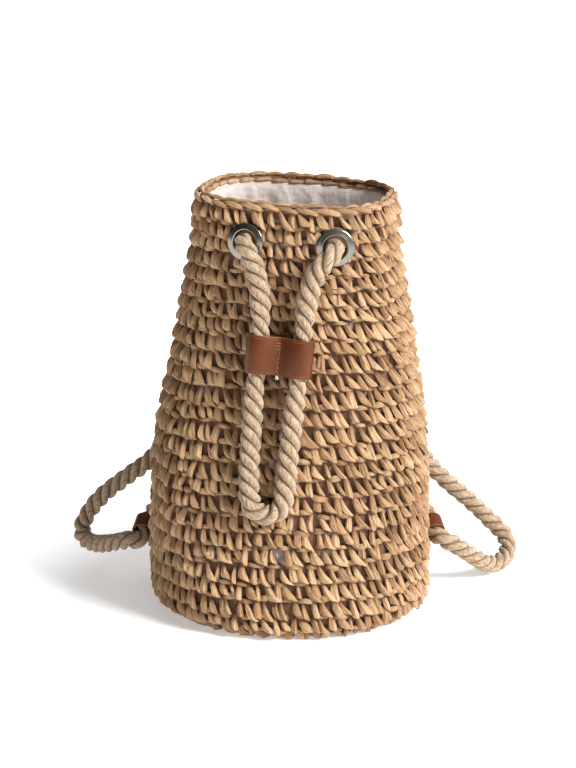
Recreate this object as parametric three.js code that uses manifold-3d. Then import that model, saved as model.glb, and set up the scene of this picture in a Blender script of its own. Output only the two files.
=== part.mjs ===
// Woven straw backpack, standing by itself. A crocheted straw bucket holds a cloth lining. One
// twisted rope is the drawstring and both shoulder straps: it runs through four metal eyelets
// and a leather slider, and each end is held by a leather tab low on the side.
// Millimetres, +Z up. The front faces -Y and the origin is on the floor under the base's middle.
import * as THREE from "three";
import { mergeVertices } from "three/addons/utils/BufferGeometryUtils.js";
import Module from "manifold-3d";

// Body
const BODY_HEIGHT = 310;
const BODY_WIDTH = 211;
const BODY_DEPTH = 196;
const BASE_CORNER = 22;
const WALL = 7;

// Rows of crochet: the pitch of the top row, what each lower row adds, and the step under a row
const TOP_ROW_PITCH = 11.1;
const ROW_PITCH_GROWTH = 0.14;
const ROW_DEPTH = 2.2;
const ROW_UNDERCUT = 1.2;

// Rim braid
const BRAID_WIDTH = 8.4;
const BRAID_HEIGHT = 6.6;
const BRAID_LINKS = 32;
const BRAID_WAIST = 0.8;

// Lining
const LINING_CLOTH = 1.2;
const LINING_TOP_DROP = 3;

// Rope
const ROPE_DIAMETER = 13.4;

// Eyelets
const EYELET_BORE = 15.5;
const EYELET_FLANGE = 25;
const EYELET_BARREL = 0.8;
const EYELET_DOME = 2.2;
const BACK_FLANGE = 22.5;
const BACK_FLANGE_PLATE = 1;
const FRONT_EYELET_DROP = 24;
const BACK_EYELET_DROP = 33;

// Leather slider: its angle round the body and its lean are in degrees
const SLIDER_LEATHER = 2;
const SLIDER_HEIGHT = 27.5;
const SLIDER_PITCH = 30.6;
const SLIDER_SEAM_SHARE = 0.3;
const SLIDER_MID_HEIGHT = 206;
const SLIDER_ANGLE = -86.4;
const SLIDER_LEAN = -4.5;

// Leather side tabs: the tilt of the tail below level and the start of the fold are in degrees
const TAB_LEATHER = 2.2;
const TAB_WIDTH = 13;
const TAB_TAIL = 24;
const TAB_TAIL_TOP = 13.5;
const TAB_FOLD_START = 20;
const TAB_MID_HEIGHT = 45;
const TAB_TILT = 60;

// Clearances: between seated pieces, between wall and lining, round the rope, and what the
// curved wall takes up behind an eyelet's inner flange
const GAP = 0.4;
const LINING_PLAY = 0.8;
const ROPE_PLAY = 0.45;
const WALL_SAG = 3;

// Straight sides of the body's faceted outline, and of an eyelet
const AROUND = 34;
const EYELET_SIDES = 16;
const TAU = 2 * Math.PI;

// Outline of the body at ten heights. Heights are shares of BODY_HEIGHT, width and shift of
// BODY_WIDTH, front and back of BODY_DEPTH. Square is the outline's superellipse power, turn
// its twist in degrees, roll and lift the slope of the rows to the side and to the back.
const OUTLINE = {
  height: [0, 0.08, 0.19, 0.32, 0.45, 0.58, 0.71, 0.84, 0.93, 1],
  width: [1, 1, 1, 0.99, 0.962, 0.905, 0.83, 0.76, 0.724, 0.712],
  front: [1.05, 1.01, 0.95, 0.875, 0.8, 0.725, 0.665, 0.62, 0.6, 0.592],
  back: [1.04, 1.012, 0.955, 0.9, 0.84, 0.765, 0.695, 0.635, 0.61, 0.602],
  square: [2.1, 2.3, 2.4, 2.5, 2.5, 2.6, 2.7, 2.8, 2.8, 2.8],
  turn: [0, 0, 0, 0, -3, -7, -12, -16, -18, -18],
  shift: [0, 0, 0, 0.002, 0.004, 0.008, 0.012, 0.015, 0.017, 0.017],
  roll: [0, 0, 0, 0, 0, 0, -0.005, -0.01, -0.015, -0.015],
  lift: [0, 0, 0, 0, 0, 0, 0, 0.015, 0.035, 0.05],
};

// Where the eyelets sit: drop below the wall's top edge and angle round the body in degrees,
// with 0 at the right side, -90 at the front and 90 at the back
const EYELETS = [
  { name: "eyelet_front_left", drop: FRONT_EYELET_DROP, angle: -106.7 },
  { name: "eyelet_front_right", drop: FRONT_EYELET_DROP, angle: -48.2 },
  { name: "eyelet_back_left", drop: BACK_EYELET_DROP, angle: 138.8 },
  { name: "eyelet_back_right", drop: BACK_EYELET_DROP, angle: 75.9 },
];

// Side tabs: angle round the body and which way along the outline leads to the back
const TABS = [
  { name: "tab_left", angle: 163.5, backward: -1 },
  { name: "tab_right", angle: 16.5, backward: 1 },
];

// The rope's route from the end in the left tab to the end in the right tab, as points of its
// centre line
const ROPE_ROUTE = [
  [-105.5, 50.5, 54.5],
  [-110, 40.3, 49.4],
  [-113.8, 25.2, 40.4],
  [-117, 20, 38.2],
  [-124, 20, 38],
  [-134, 27, 34],
  [-147, 43, 27],
  [-158, 60, 22.5],
  [-165, 71, 23.5],
  [-166.5, 77, 30],
  [-162, 80, 40],
  [-149, 80, 56],
  [-127, 79, 73.5],
  [-111, 78, 86],
  [-84, 80, 123],
  [-53, 80, 208],
  [-44.5, 78, 246],
  [-41.3, 75.5, 272.3],
  [-39.8, 74.2, 276.1],
  [-38.2, 71.2, 278.7],
  [-36.8, 67.3, 279.4],
  [-35, 60.6, 278.8],
  [-32.7, 52.1, 278.1],
  [-34.5, 36, 276.5],
  [-37, 12, 275.5],
  [-32, -10, 277.5],
  [-26.6, -27, 282],
  [-26.5, -38.2, 283.8],
  [-29.5, -46, 284.4],
  [-32.2, -52.9, 285],
  [-33, -56.9, 284.6],
  [-32, -60.6, 282.8],
  [-29.5, -62.9, 280],
  [-26, -64.3, 272],
  [-22, -66.8, 257],
  [-20.2, -69.9, 234],
  [-20.6, -71.3, 223.4],
  [-23.7, -74.8, 193.8],
  [-26.3, -79, 166],
  [-29, -89, 117],
  [-28.5, -91.6, 107.5],
  [-26.2, -92.6, 100.3],
  [-20.1, -93.5, 95.8],
  [-12.5, -93.9, 95.8],
  [-6.4, -93.4, 100.3],
  [-4, -92.4, 107.5],
  [-2.6, -90, 119],
  [3, -83, 168],
  [6.3, -80.4, 191.3],
  [9.4, -76.9, 220.9],
  [10.8, -75.6, 233],
  [14.5, -74.5, 255],
  [21, -75, 270],
  [27.8, -76.3, 277.6],
  [30.3, -75, 280.8],
  [32, -71.8, 283],
  [32.5, -67.5, 283.5],
  [32.1, -61, 283.1],
  [31.5, -52, 282.6],
  [32.5, -37, 281],
  [36, -16, 277],
  [36.5, 6, 275],
  [33, 26, 275.8],
  [31.5, 40.9, 276.8],
  [34.5, 49.1, 277.5],
  [36.9, 55.6, 278.1],
  [38.6, 59.3, 277.4],
  [40.4, 62.1, 274.8],
  [42, 63.3, 270.8],
  [44.5, 65.5, 250],
  [54, 70, 207],
  [84, 76, 126],
  [110.5, 76, 84],
  [149, 80, 47],
  [161, 80, 35],
  [170.5, 78, 25.5],
  [175, 72, 18],
  [173, 64, 10.5],
  [166.5, 54, 8.3],
  [156.5, 43, 10],
  [147, 32, 18.5],
  [127, 20.5, 35],
  [119, 20, 39],
  [113.8, 25.2, 40.4],
  [110, 40.3, 49.4],
  [105.5, 50.5, 54.5],
];

// Half the number of sides of the rope's section
const ROPE_HALF_SIDES = 5;

const material = (color, roughness, metalness = 0) =>
  new THREE.MeshStandardMaterial({ color, roughness, metalness });
const straw = material("#c79d6e", 0.75);
const cotton = material("#dcd3cd", 0.9);
const ropeCotton = material("#d8c4aa", 0.9);
const tanLeather = material("#8f5232", 0.55);
const darkNickel = material("#77777a", 0.25, 1);

const wasm = await Module();
wasm.setup();

// A smooth value between the entries of OUTLINE, as a cubic with the slope of its neighbours
function outlineValue(column, height) {
  const shares = OUTLINE.height;
  const values = OUTLINE[column];
  const share = THREE.MathUtils.clamp(height / BODY_HEIGHT, 0, 1);
  const last = shares.length - 1;
  let k = 0;
  while (k < last - 1 && share >= shares[k + 1]) k++;
  const slope = (i) => {
    const before = Math.max(i - 1, 0);
    const after = Math.min(i + 1, last);
    return (values[after] - values[before]) / (shares[after] - shares[before]);
  };
  const span = shares[k + 1] - shares[k];
  const u = (share - shares[k]) / span;
  return (2 * u ** 3 - 3 * u ** 2 + 1) * values[k]
    + (u ** 3 - 2 * u ** 2 + u) * span * slope(k)
    + (3 * u ** 2 - 2 * u ** 3) * values[k + 1]
    + (u ** 3 - u ** 2) * span * slope(k + 1);
}

// How far the rounded base edge of the layer at this inset draws in at this height
function cornerInset(height, inset) {
  const radius = BASE_CORNER - inset;
  const above = height - inset;
  if (above >= radius) return 0;
  return radius - Math.sqrt(radius ** 2 - (radius - Math.max(above, 0)) ** 2);
}

// Heights at equal angles round the base edge of the layer at this inset
function cornerHeights(inset) {
  const radius = BASE_CORNER - inset;
  const angles = [30, 60, 90].map(THREE.MathUtils.degToRad);
  return angles.map((angle) => inset + radius * (1 - Math.cos(angle)));
}

// Point of the body's outline at a height and an angle. Inset moves it in by a layer's depth,
// tuck by the undercut of a row, and share draws it towards the axis, for the base.
function bodyPoint(height, angle, { inset = 0, tuck = 0, share = 1 } = {}) {
  const drawn = inset + tuck + cornerInset(height, inset);
  const halfWidth = (outlineValue("width", height) * BODY_WIDTH) / 2 - drawn;
  const side = Math.sin(angle) < 0 ? "front" : "back";
  const halfDepth = (outlineValue(side, height) * BODY_DEPTH) / 2 - drawn;
  const power = outlineValue("square", height);
  const radius = share * (Math.abs(Math.cos(angle) / halfWidth) ** power
    + Math.abs(Math.sin(angle) / halfDepth) ** power) ** (-1 / power);
  const turn = THREE.MathUtils.degToRad(outlineValue("turn", height));
  const x = outlineValue("shift", height) * BODY_WIDTH + radius * Math.cos(angle + turn);
  const y = radius * Math.sin(angle + turn);
  const z = height + outlineValue("roll", height) * x + outlineValue("lift", height) * y;
  return new THREE.Vector3(x, y, z);
}

// Axes on the body's outside: outward, up the wall and round it towards a larger angle
function wallFrame(height, degrees, standoff = 0) {
  const angle = THREE.MathUtils.degToRad(degrees);
  const step = 0.5;
  const turnStep = 0.001;
  const origin = bodyPoint(height, angle);
  const around = bodyPoint(height, angle + turnStep).sub(bodyPoint(height, angle - turnStep)).normalize();
  const rise = bodyPoint(height + step, angle).sub(bodyPoint(height - step, angle));
  const outward = around.clone().cross(rise).normalize();
  const up = outward.clone().cross(around);
  origin.addScaledVector(outward, standoff);
  return { origin, outward, around, up };
}

// Merges shared corners and drops the faces that collapse on the axis
function closedGeometry(geometry) {
  geometry.deleteAttribute("normal");
  geometry.deleteAttribute("uv");
  const merged = mergeVertices(geometry, 1e-4);
  const index = merged.getIndex().array;
  const kept = [];
  for (let i = 0; i < index.length; i += 3) {
    const [a, b, c] = [index[i], index[i + 1], index[i + 2]];
    if (a !== b && b !== c && c !== a) kept.push(a, b, c);
  }
  merged.setIndex(kept);
  merged.computeVertexNormals();
  return merged;
}

// Revolves a profile and then puts each of its points where place says
function loft(profile, segments, place) {
  const points = profile.map((_, i) => new THREE.Vector2(1, i));
  const geometry = new THREE.LatheGeometry(points, segments);
  const position = geometry.getAttribute("position");
  for (let k = 0; k < position.count; k++) {
    const turn = Math.floor(k / profile.length) % segments;
    const point = place(profile[k % profile.length], turn / segments);
    position.setXYZ(k, point.x, point.y, point.z);
  }
  return closedGeometry(geometry);
}

function toSolid(geometry) {
  const mesh = new wasm.Mesh({
    numProp: 3,
    vertProperties: new Float32Array(geometry.getAttribute("position").array),
    triVerts: new Uint32Array(geometry.getIndex().array),
  });
  return new wasm.Manifold(mesh);
}

function toGeometry(solid) {
  const mesh = solid.getMesh();
  const geometry = new THREE.BufferGeometry();
  geometry.setAttribute("position", new THREE.BufferAttribute(mesh.vertProperties, 3));
  geometry.setIndex(new THREE.BufferAttribute(mesh.triVerts, 1));
  geometry.computeVertexNormals();
  return geometry;
}

// Cuts the four eyelet holes through a shell
function cutEyeletHoles(shell) {
  const radius = EYELET_BORE / 2 + EYELET_BARREL + GAP;
  const length = 6 * WALL;
  const holeSides = 20;
  let solid = toSolid(shell);
  for (const { drop, angle } of EYELETS) {
    const { origin, outward } = wallFrame(BODY_HEIGHT - drop, angle);
    const drill = new THREE.CylinderGeometry(radius, radius, length, holeSides);
    const turn = new THREE.Quaternion().setFromUnitVectors(new THREE.Vector3(0, 1, 0), outward);
    drill.applyQuaternion(turn);
    drill.translate(origin.x, origin.y, origin.z);
    solid = solid.subtract(toSolid(closedGeometry(drill)));
  }
  return toGeometry(solid);
}

// Heights of the lower edges of the crochet rows, from the lowest up
function rowEdges() {
  const edges = [];
  let height = BODY_HEIGHT;
  for (let pitch = TOP_ROW_PITCH; height - pitch > BASE_CORNER / 2; pitch += ROW_PITCH_GROWTH) {
    height -= pitch;
    edges.unshift(height);
  }
  return edges;
}

// Profile points of one face of a smooth layer, from its middle on the floor up to its top edge
function smoothSide(inset, top) {
  const wallHeights = OUTLINE.height.slice(2, -1).map((share) => share * BODY_HEIGHT);
  const heights = [inset, ...cornerHeights(inset), ...wallHeights, BODY_HEIGHT - LINING_TOP_DROP, top];
  const distinct = [...new Set(heights)];
  return [{ height: inset, inset, share: 0 }, ...distinct.map((height) => ({ height, inset }))];
}

// Puts a profile point of a layer at a share of the way round the body
function onBody({ height, ...layer }, turn) {
  return bodyPoint(height, TAU * turn, layer);
}

function strawBody() {
  const baseShares = [0, 0.55, 1];
  const edges = rowEdges();
  const profile = baseShares.map((share) => ({ height: 0, share }));
  const belowRows = cornerHeights(0).filter((height) => height < edges[0] - ROW_UNDERCUT);
  profile.push(...belowRows.map((height) => ({ height })));
  edges.forEach((edge, i) => {
    const above = edges[i + 1] ?? BODY_HEIGHT;
    profile.push({ height: edge }, { height: above - ROW_UNDERCUT, tuck: ROW_DEPTH });
  });
  profile.push({ height: BODY_HEIGHT, tuck: ROW_DEPTH / 2 });
  profile.push(...smoothSide(WALL, BODY_HEIGHT).reverse());
  return cutEyeletHoles(loft(profile, AROUND, onBody));
}

function lining() {
  const outer = WALL + LINING_PLAY;
  const top = BODY_HEIGHT - LINING_TOP_DROP;
  const profile = [...smoothSide(outer, top), ...smoothSide(outer + LINING_CLOTH, top).reverse()];
  return cutEyeletHoles(loft(profile, AROUND, onBody));
}

// A plaited ring on the wall's top edge, waisted between its links
function rimBraid() {
  const sides = 6;
  const stepsPerLink = 2;
  const bottomPlay = GAP;
  const profile = Array.from({ length: sides + 1 }, (_, i) => ({ angle: (TAU * (i % sides)) / sides }));
  return loft(profile, BRAID_LINKS * stepsPerLink, ({ angle }, turn) => {
    const swell = BRAID_WAIST + (1 - BRAID_WAIST) * Math.abs(Math.sin(Math.PI * turn * BRAID_LINKS));
    const across = (BRAID_WIDTH / 2) * swell * Math.cos(angle);
    const upward = (BRAID_HEIGHT / 2) * swell * Math.sin(angle);
    const seat = (BRAID_HEIGHT / 2) + bottomPlay;
    const point = bodyPoint(BODY_HEIGHT, TAU * turn, { inset: WALL / 2 - across });
    return point.setZ(point.z + seat + upward);
  });
}

// A rolled flange outside, a barrel through wall and lining, and a flat flange inside. The
// dome's points are shares of the flange's breadth beyond the barrel and of the dome's height.
function eyelet(reach) {
  const bore = EYELET_BORE / 2;
  const barrel = bore + EYELET_BARREL;
  const flange = EYELET_FLANGE / 2;
  const back = BACK_FLANGE / 2;
  const backFace = -reach - BACK_FLANGE_PLATE;
  const domeShares = [[1, 0], [0.95, 0.55], [0.6, 1], [0.15, 0.9]];
  const dome = domeShares.map(([out, up]) => [barrel + out * (flange - barrel), GAP + up * EYELET_DOME]);
  const lip = [bore, GAP + EYELET_DOME / 2];
  const inside = [[bore, backFace], [back, backFace], [back, -reach], [barrel, -reach]];
  const outline = [...inside, [barrel, GAP], ...dome, lip, inside[0]];
  const points = outline.map(([radius, height]) => new THREE.Vector2(radius, height));
  return closedGeometry(new THREE.LatheGeometry(points, EYELET_SIDES));
}

// Steps follow the route's own points, so they are close where the rope bends
class RopeCurve extends THREE.CatmullRomCurve3 {
  getUtoTmapping(u) {
    return u;
  }
}

function rope() {
  const points = ROPE_ROUTE.map((point) => new THREE.Vector3(...point));
  const section = new THREE.Shape();
  section.absarc(0, 0, ROPE_DIAMETER / 2, 0, TAU);
  const geometry = new THREE.ExtrudeGeometry(section, {
    extrudePath: new RopeCurve(points, false, "centripetal"),
    steps: points.length - 1,
    curveSegments: ROPE_HALF_SIDES,
    bevelEnabled: false,
  });
  return closedGeometry(geometry);
}

// Two round tunnels side by side in one band, sewn down along the middle. The band narrows
// from each tunnel to the seam, and a tunnel ends a share of half the pitch short of it.
function slider() {
  const hole = ROPE_DIAMETER / 2 + ROPE_PLAY;
  const outer = hole + SLIDER_LEATHER;
  const half = SLIDER_PITCH / 2;
  const waistSteps = 5;
  const arcSteps = 8;
  const waist = (x, radius, pinch) => pinch + (radius - pinch) * Math.sin((Math.PI / 2) * (x / half)) ** 2;
  const quarter = (radius, pinch, from) => {
    const points = [];
    for (let i = 0; i < waistSteps; i++) {
      const x = from + ((half - from) * i) / waistSteps;
      points.push([x, waist(x, radius, pinch)]);
    }
    for (let i = 0; i <= arcSteps; i++) {
      const angle = Math.PI / 2 - (Math.PI / 2) * (i / arcSteps);
      points.push([half + radius * Math.cos(angle), radius * Math.sin(angle)]);
    }
    return points;
  };
  const lobe = (points) => [...points, ...points.slice(0, -1).reverse().map(([x, y]) => [x, -y])];
  const mirrored = (points) => points.map(([x, y]) => [-x, y]).reverse();
  const right = lobe(quarter(outer, SLIDER_LEATHER, 0));
  const left = mirrored(right).slice(1, -1);
  const counterclockwise = [...right, ...left].reverse();
  const band = new THREE.Shape(counterclockwise.map(([x, y]) => new THREE.Vector2(x, y)));
  const tunnel = lobe(quarter(hole, GAP, SLIDER_SEAM_SHARE * half));
  for (const points of [tunnel, mirrored(tunnel)]) {
    band.holes.push(new THREE.Path(points.map(([x, y]) => new THREE.Vector2(x, y))));
  }
  const geometry = new THREE.ExtrudeGeometry(band, { depth: SLIDER_HEIGHT, bevelEnabled: false });
  geometry.translate(0, 0, -SLIDER_HEIGHT / 2);
  return closedGeometry(geometry);
}

// A strap folded round the rope, with both its layers lying flat on the wall as a tail. The
// loop leaves the tail's top at TAB_FOLD_START degrees and comes down to the wall at 270.
function tab() {
  const hole = ROPE_DIAMETER / 2 + ROPE_PLAY;
  const outer = hole + TAB_LEATHER;
  const tailDepth = 2 * TAB_LEATHER;
  const foldStart = THREE.MathUtils.degToRad(TAB_FOLD_START);
  const shape = new THREE.Shape();
  shape.moveTo(TAB_TAIL, 0);
  shape.lineTo(TAB_TAIL, tailDepth);
  shape.lineTo(TAB_TAIL_TOP, tailDepth);
  shape.absarc(0, outer, outer, foldStart, 0.75 * TAU, false);
  shape.closePath();
  const bore = new THREE.Path();
  bore.absarc(0, outer, hole, 0, TAU);
  shape.holes.push(bore);
  const options = { depth: TAB_WIDTH, bevelEnabled: false, curveSegments: 9 };
  const geometry = new THREE.ExtrudeGeometry(shape, options);
  geometry.translate(0, 0, -TAB_WIDTH / 2);
  return closedGeometry(geometry);
}

function namedMesh(name, geometry, surface) {
  const mesh = new THREE.Mesh(geometry, surface);
  mesh.name = name;
  return mesh;
}

// Puts a mesh at an origin with its own x, y and z along the given directions
function seat(mesh, origin, x, y, z) {
  mesh.quaternion.setFromRotationMatrix(new THREE.Matrix4().makeBasis(x, y, z));
  mesh.position.copy(origin);
  return mesh;
}

const backpack = new THREE.Group();
backpack.add(namedMesh("straw_body", strawBody(), straw));
backpack.add(namedMesh("rim_braid", rimBraid(), straw));
backpack.add(namedMesh("lining", lining(), cotton));

const eyeletReach = WALL + LINING_PLAY + LINING_CLOTH + WALL_SAG;
for (const { name, drop, angle } of EYELETS) {
  const { origin, outward, around, up } = wallFrame(BODY_HEIGHT - drop, angle);
  const mesh = namedMesh(name, eyelet(eyeletReach), darkNickel);
  backpack.add(seat(mesh, origin, up, outward, around));
}

backpack.add(namedMesh("rope", rope(), ropeCotton));

const sliderStandoff = ROPE_DIAMETER / 2 + ROPE_PLAY + SLIDER_LEATHER + GAP / 2;
const sliderFrame = wallFrame(SLIDER_MID_HEIGHT, SLIDER_ANGLE, sliderStandoff);
const lean = THREE.MathUtils.degToRad(SLIDER_LEAN);
const sliderRight = sliderFrame.around.clone().applyAxisAngle(sliderFrame.outward, lean);
const sliderUp = sliderFrame.up.clone().applyAxisAngle(sliderFrame.outward, lean);
const sliderIn = sliderUp.clone().cross(sliderRight);
const sliderMesh = namedMesh("slider", slider(), tanLeather);
backpack.add(seat(sliderMesh, sliderFrame.origin, sliderRight, sliderIn, sliderUp));

for (const { name, angle, backward } of TABS) {
  const { origin, outward, around, up } = wallFrame(TAB_MID_HEIGHT, angle, GAP);
  const tilt = THREE.MathUtils.degToRad(TAB_TILT);
  const back = around.clone().multiplyScalar(backward * Math.cos(tilt));
  const tail = back.addScaledVector(up, -Math.sin(tilt));
  const along = tail.clone().cross(outward);
  backpack.add(seat(namedMesh(name, tab(), tanLeather), origin, tail, outward, along));
}

export default backpack;
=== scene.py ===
# %% [markdown]
# # A crocheted straw backpack
# The bag is a bucket of thick paper straw, crocheted round and round in single stitches. It has a
# cotton lining, a plaited rim, metal eyelets, and one twisted rope that is the drawstring and
# both shoulder straps. We load the measured model first. Every new piece is placed round it.

# %% Tools and the measured model
import math

import bpy
import numpy as np
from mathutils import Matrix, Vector


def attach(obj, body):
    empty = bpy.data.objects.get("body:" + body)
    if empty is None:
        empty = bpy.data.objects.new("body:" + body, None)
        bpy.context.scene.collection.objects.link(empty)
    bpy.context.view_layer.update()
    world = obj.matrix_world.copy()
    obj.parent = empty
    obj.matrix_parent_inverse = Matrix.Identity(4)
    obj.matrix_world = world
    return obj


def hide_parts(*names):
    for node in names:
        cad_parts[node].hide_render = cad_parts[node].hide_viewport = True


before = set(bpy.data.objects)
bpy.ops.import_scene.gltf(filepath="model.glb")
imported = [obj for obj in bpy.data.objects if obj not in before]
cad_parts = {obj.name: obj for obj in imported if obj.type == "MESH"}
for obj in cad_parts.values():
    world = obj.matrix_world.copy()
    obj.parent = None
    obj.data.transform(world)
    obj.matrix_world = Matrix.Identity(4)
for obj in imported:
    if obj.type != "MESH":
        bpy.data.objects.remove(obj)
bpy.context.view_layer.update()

# %% [markdown]
# ## The camera
# The photograph looks a little down on the bag from straight in front. A long lens a metre and a
# half away gives the same mild perspective. The lens is worked out from the picture's height,
# and a small shift puts the bag where it stands in the picture.

# %% Camera
PICTURE_HEIGHT = 768
FOCAL_PIXELS = 2000
SHIFT_PIXELS = (-1.5, 10)
SENSOR_WIDTH = 36
CAMERA_DISTANCE = 1.5
CAMERA_RISE = math.radians(14.6)
LOOK_AT = Vector((0, 0, 0.160))

camera_data = bpy.data.cameras.new("photo_camera")
camera_data.sensor_width = SENSOR_WIDTH
camera_data.lens = SENSOR_WIDTH * FOCAL_PIXELS / PICTURE_HEIGHT
camera_data.shift_x = SHIFT_PIXELS[0] / PICTURE_HEIGHT
camera_data.shift_y = SHIFT_PIXELS[1] / PICTURE_HEIGHT
camera = bpy.data.objects.new("photo_camera", camera_data)
toward_camera = Vector((0, -math.cos(CAMERA_RISE), math.sin(CAMERA_RISE)))
camera.location = LOOK_AT + CAMERA_DISTANCE * toward_camera
camera.rotation_euler = (-toward_camera).to_track_quat("-Z", "Y").to_euler()
bpy.context.scene.collection.objects.link(camera)
bpy.context.scene.camera = camera
print("camera at", [round(v, 3) for v in camera.location])

# %% [markdown]
# ## Helpers for meshes made of arrays
# Each piece below is a surface worked out with numpy: a grid of points and the four-sided faces
# between them. One helper turns such arrays into a mesh object that rides on the bag. A strand's
# own coordinates go with it as point attributes, so that a material can run its fibres along it.

# %% Mesh helpers
MM = 0.001
TAU = 2 * math.pi
CRISP = math.radians(38)
CRISP_HARD = math.radians(50)


def full_turn(count):
    """Angles in equal steps round a full turn."""
    return np.arange(count) / count * TAU


def unit(vectors):
    """The same directions, each with the length 1."""
    return vectors / np.linalg.norm(vectors, axis=-1, keepdims=True)


def length_run(points):
    """Length along a line of points from its start to each of them."""
    return np.concatenate([[0], np.cumsum(np.linalg.norm(np.diff(points, axis=0), axis=1))])


def cubic_weights(u):
    """Weights of a cubic's first point, the slope there, its last point and the slope there."""
    return 2 * u**3 - 3 * u**2 + 1, u**3 - 2 * u**2 + u, 3 * u**2 - 2 * u**3, u**3 - u**2


def grid_faces(rows, columns, closed=True):
    """Four-sided faces of a grid of rows by columns. The last column joins the first if closed."""
    row, column = np.meshgrid(np.arange(rows - 1), np.arange(columns if closed else columns - 1),
                              indexing="ij")
    beside = (column + 1) % columns
    corners = [row * columns + column, row * columns + beside,
               (row + 1) * columns + beside, (row + 1) * columns + column]
    return np.stack(corners, -1).reshape(-1, 4)


def ring_faces(rows, columns):
    """Faces of a closed grid whose last row also joins its first, as on a ring."""
    return grid_faces(rows + 1, columns) % (rows * columns)


def strand_faces(stations, sides):
    """Faces of one closed strand: a grid of rings, and a fan from each end ring to its middle."""
    quads = grid_faces(stations, sides)
    ring = np.arange(sides)
    after = (ring + 1) % sides
    last = (stations - 1) * sides
    first_middle = stations * sides
    start = np.stack([after, ring, np.full(sides, first_middle)], -1)
    end = np.stack([last + ring, last + after, np.full(sides, first_middle + 1)], -1)
    return quads, np.concatenate([start, end])


def with_middles(rings):
    """Strands as (strand, station, side, xyz), flattened, each followed by its end middles."""
    middles = rings[:, [0, -1]].mean(axis=2)
    return np.concatenate([rings.reshape(len(rings), -1, rings.shape[-1]), middles], 1)


def many_strands(rings):
    """Points and faces of many closed strands given as (strand, station, side, xyz)."""
    count, stations, sides = rings.shape[:3]
    quads, fans = strand_faces(stations, sides)
    step = stations * sides + 2
    offset = (np.arange(count) * step)[:, None, None]
    return with_middles(rings).reshape(-1, 3), [(quads + offset).reshape(-1, 4),
                                                (fans + offset).reshape(-1, 3)]


def make_piece(name, points, faces, material, attributes=None, crisp=None):
    """A mesh object from arrays: points (n, 3) and a list of face arrays of one size each."""
    mesh = bpy.data.meshes.new(name)
    corners = np.concatenate([f.ravel() for f in faces]).astype(np.int32)
    sizes = np.concatenate([np.full(len(f), f.shape[1]) for f in faces])
    starts = np.concatenate([[0], np.cumsum(sizes)[:-1]]).astype(np.int32)
    mesh.vertices.add(len(points))
    mesh.vertices.foreach_set("co", np.ascontiguousarray(points, np.float32).ravel())
    mesh.loops.add(len(corners))
    mesh.loops.foreach_set("vertex_index", corners)
    mesh.polygons.add(len(sizes))
    mesh.polygons.foreach_set("loop_start", starts)
    mesh.polygons.foreach_set("use_smooth", np.ones(len(sizes), bool))
    mesh.update(calc_edges=True)
    for key, values in (attributes or {}).items():
        vector = values.ndim == 2
        layer = mesh.attributes.new(key, "FLOAT_VECTOR" if vector else "FLOAT", "POINT")
        layer.data.foreach_set("vector" if vector else "value",
                               np.ascontiguousarray(values, np.float32).ravel())
    if crisp:
        mesh.set_sharp_from_angle(angle=crisp)
    mesh.materials.append(material)
    piece = bpy.data.objects.new(name, mesh)
    bpy.context.scene.collection.objects.link(piece)
    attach(piece, "root")
    print(f"{name}: {len(points)} points, {int((sizes - 2).sum())} triangles")
    return piece


# %% [markdown]
# ## Materials
# Every finish is a small network on one shader. The straw is flat folded paper: it has creases
# and fine fibres along each strand, and each stitch has a slightly different tan. The strand's
# own coordinates carry that pattern round every bend.

# %% Material helpers


def node_adder(tree):
    """A function that adds nodes to one tree."""
    def add(kind, inputs=None, **settings):
        """A new node with its settings, and each input linked to a socket or set to a value."""
        node = tree.nodes.new("ShaderNode" + kind)
        for key, value in settings.items():
            setattr(node, key, value)
        for key, value in (inputs or {}).items():
            if isinstance(value, bpy.types.NodeSocket):
                tree.links.new(value, node.inputs[key])
            else:
                node.inputs[key].default_value = value
        return node

    return add


def new_finish(name, roughness, metallic=0.0, **sockets):
    """A material with one Principled shader, and functions that add nodes and feed it."""
    material = bpy.data.materials.new(name)
    material.use_nodes = True
    tree = material.node_tree
    shader = next(n for n in tree.nodes if n.type == "BSDF_PRINCIPLED")
    shader.inputs["Roughness"].default_value = roughness
    shader.inputs["Metallic"].default_value = metallic
    for socket, value in sockets.items():
        shader.inputs[socket.replace("_", " ")].default_value = value

    def feed(socket, output):
        """Links an output to one of the shader's sockets."""
        tree.links.new(output, shader.inputs[socket])

    return material, node_adder(tree), feed


def object_place(add):
    """Coordinates in the object's own frame, in metres."""
    return add("TexCoord").outputs["Object"]


def point_value(add, name, output="Fac"):
    """What the mesh's points carry under a name."""
    return add("Attribute", attribute_name=name).outputs[output]


def maths(add, operation, *values):
    """One sum on numbers, each a socket or a plain value."""
    return add("Math", dict(enumerate(values)), operation=operation).outputs[0]


def between(add, value, low, high, start=0.0, end=1.0, **settings):
    """The value, whose range from start to end is spread from low to high."""
    return add("MapRange", {"Value": value, "From Min": start, "From Max": end,
                            "To Min": low, "To Max": high}, **settings).outputs["Result"]


def relief(add, height, strength, distance, **under):
    """The way a bumpy surface faces, given its bumps' height and maybe the Normal under it."""
    return add("Bump", {"Height": height, "Strength": strength, "Distance": distance,
                        **under}).outputs["Normal"]


def stretched(add, source, scale):
    """Coordinates scaled by a different amount along each axis."""
    return add("Mapping", {"Vector": source, "Scale": scale}).outputs["Vector"]


def noise(add, source, scale, detail=3.0, roughness=0.55):
    """Soft random clouds. Scale is how many of them fit in a metre."""
    return add("TexNoise", {"Vector": source, "Scale": scale, "Detail": detail,
                            "Roughness": roughness}).outputs["Fac"]


def ramp(add, value, stops):
    """A colour ramp whose stops are (position, colour)."""
    node = add("ValToRGB", {"Fac": value})
    elements = node.color_ramp.elements
    while len(elements) < len(stops):
        elements.new(0.5)
    for element, (position, colour) in zip(elements, stops):
        element.position = position
        element.color = (*colour, 1)
    return node.outputs["Color"]


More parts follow.
